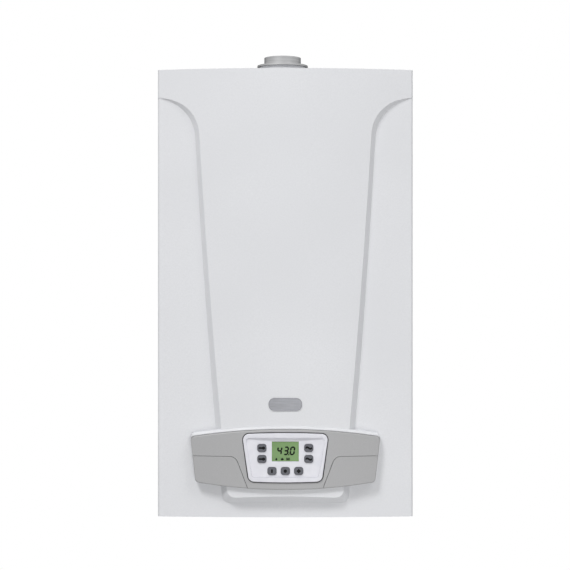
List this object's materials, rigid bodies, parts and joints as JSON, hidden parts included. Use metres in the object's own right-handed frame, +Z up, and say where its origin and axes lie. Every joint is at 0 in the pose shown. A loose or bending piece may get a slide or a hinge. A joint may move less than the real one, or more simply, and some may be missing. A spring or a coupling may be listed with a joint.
{
  "type": "wall-hung gas boiler",
  "caption": "Wall-hung gas boiler with a crowned, waisted white front casing, a grey control bezel with a display and push buttons, and a flue outlet on top.",
  "frame": {"origin": "in the wall plane, on the centre line, level with the casing's lower edge", "axes": "+Z up, +Y into the wall, front faces -Y"},
  "size_m": [0.4, 0.2946, 0.7495],
  "materials": {
    "white_paint": "satin",
    "zinc_sheet": "satin",
    "screw_steel": "satin",
    "box_plastic": "matte",
    "grey_plastic": "satin",
    "white_plastic": "gloss",
    "seal_rubber": "matte",
    "lcd_glass": "gloss",
    "circuit_board": "satin",
    "aluminised_sheet": "satin",
    "glass": "gloss",
    "stainless": "satin",
    "fibre_board": "matte",
    "brass": "satin",
    "electrode_ceramic": "gloss",
    "copper": "satin",
    "motor_paint": "satin",
    "white_moulding": "satin",
    "cast_aluminium": "satin",
    "vessel_paint": "satin",
    "cast_iron": "matte",
    "red_plastic": "gloss",
    "black_plastic": "matte",
    "blue_plastic": "gloss",
    "button_plastic": "matte"
  },
  "bodies": {
    "boiler": {"left_side_panel": "white_paint", "right_side_panel": "white_paint", "top_panel": "white_paint", "rear_frame": "zinc_sheet", "pipe_rail": "zinc_sheet", "lower_crossbar": "zinc_sheet", "control_box": "box_plastic", "control_box_cover": "box_plastic", "control_bezel": "grey_plastic", "left_lower_cover": "grey_plastic", "right_lower_cover": "grey_plastic", "display_fascia": "white_plastic", "fascia_seal": "seal_rubber", "lcd_module": "lcd_glass", "display_board": "circuit_board", "main_board": "circuit_board", "chamber_shell": "aluminised_sheet", "chamber_cover": "aluminised_sheet", "sight_glass": "glass", "cover_screws": "screw_steel", "combustion_box": "stainless", "ceramic_lining": "fibre_board", "burner_ramps": "stainless", "injector_manifold": "brass", "electrodes": "electrode_ceramic", "exchanger_fins": "copper", "exchanger_tubes": "copper", "flue_hood": "aluminised_sheet", "fan_scroll": "aluminised_sheet", "fan_motor": "motor_paint", "pressure_switch": "white_moulding", "pressure_hose": "seal_rubber", "flue_spigot": "cast_aluminium", "air_inlet_cover": "cast_aluminium", "expansion_vessel": "vessel_paint", "flow_block": "brass", "return_block": "brass", "plate_exchanger": "stainless", "pump_volute": "cast_iron", "pump_motor": "motor_paint", "diverter_motor": "white_moulding", "pressure_gauge": "black_plastic", "gas_valve": "cast_aluminium", "gas_pipes": "copper", "water_pipes": "copper", "pipe_unions": "brass"},
    "casing": {"front_casing": "white_paint", "casing_screws": "screw_steel"},
    "fan_rotor": {"fan_impeller": "stainless"},
    "pump_rotor": {"pump_impeller": "white_moulding"},
    "needle": {"gauge_needle": "red_plastic"},
    "safety_grip": {"safety_knob": "red_plastic"},
    "tap_grip": {"filling_tap": "blue_plastic"},
    "button_left_upper": {"button_left_upper": "button_plastic"},
    "button_left_lower": {"button_left_lower": "button_plastic"},
    "button_right_upper": {"button_right_upper": "button_plastic"},
    "button_right_lower": {"button_right_lower": "button_plastic"},
    "button_bottom_left": {"button_bottom_left": "button_plastic"},
    "button_bottom_centre": {"button_bottom_centre": "button_plastic"},
    "button_bottom_right": {"button_bottom_right": "button_plastic"}
  },
  "joints": [
    {"name": "left_upper_press", "type": "slide", "parent": "boiler", "child": "button_left_upper", "axis": [0, 1, 0], "range_m": [0, 0.0008], "stiffness_N_per_m": 500},
    {"name": "left_lower_press", "type": "slide", "parent": "boiler", "child": "button_left_lower", "axis": [0, 1, 0], "range_m": [0, 0.0008], "stiffness_N_per_m": 500},
    {"name": "right_upper_press", "type": "slide", "parent": "boiler", "child": "button_right_upper", "axis": [0, 1, 0], "range_m": [0, 0.0008], "stiffness_N_per_m": 500},
    {"name": "right_lower_press", "type": "slide", "parent": "boiler", "child": "button_right_lower", "axis": [0, 1, 0], "range_m": [0, 0.0008], "stiffness_N_per_m": 500},
    {"name": "bottom_left_press", "type": "slide", "parent": "boiler", "child": "button_bottom_left", "axis": [0, 1, 0], "range_m": [0, 0.0008], "stiffness_N_per_m": 500},
    {"name": "bottom_centre_press", "type": "slide", "parent": "boiler", "child": "button_bottom_centre", "axis": [0, 1, 0], "range_m": [0, 0.0008], "stiffness_N_per_m": 500},
    {"name": "bottom_right_press", "type": "slide", "parent": "boiler", "child": "button_bottom_right", "axis": [0, 1, 0], "range_m": [0, 0.0008], "stiffness_N_per_m": 500},
    {"name": "casing_removal", "type": "slide", "parent": "boiler", "child": "casing", "axis": [0, -1, 0], "range_m": [0, 0.15]},
    {"name": "fan_spin", "type": "hinge", "parent": "boiler", "child": "fan_rotor", "pos_m": [0.02, -0.151, 0.598], "axis": [0, 1, 0], "continuous": true},
    {"name": "pump_spin", "type": "hinge", "parent": "boiler", "child": "pump_rotor", "pos_m": [0.13, -0.09, 0.134], "axis": [0, 1, 0], "continuous": true},
    {"name": "needle_turn", "type": "hinge", "parent": "boiler", "child": "needle", "pos_m": [-0.0975, -0.13, 0], "axis": [0, 0, 1], "range_deg": [-125, 125]},
    {"name": "safety_twist", "type": "hinge", "parent": "boiler", "child": "safety_grip", "pos_m": [0.095, -0.15, 0.052], "axis": [0, -1, 0], "range_deg": [0, 90]},
    {"name": "tap_turn", "type": "hinge", "parent": "boiler", "child": "tap_grip", "pos_m": [0.0975, -0.112, 0], "axis": [0, 0, 1], "range_deg": [0, 270]}
  ]
}
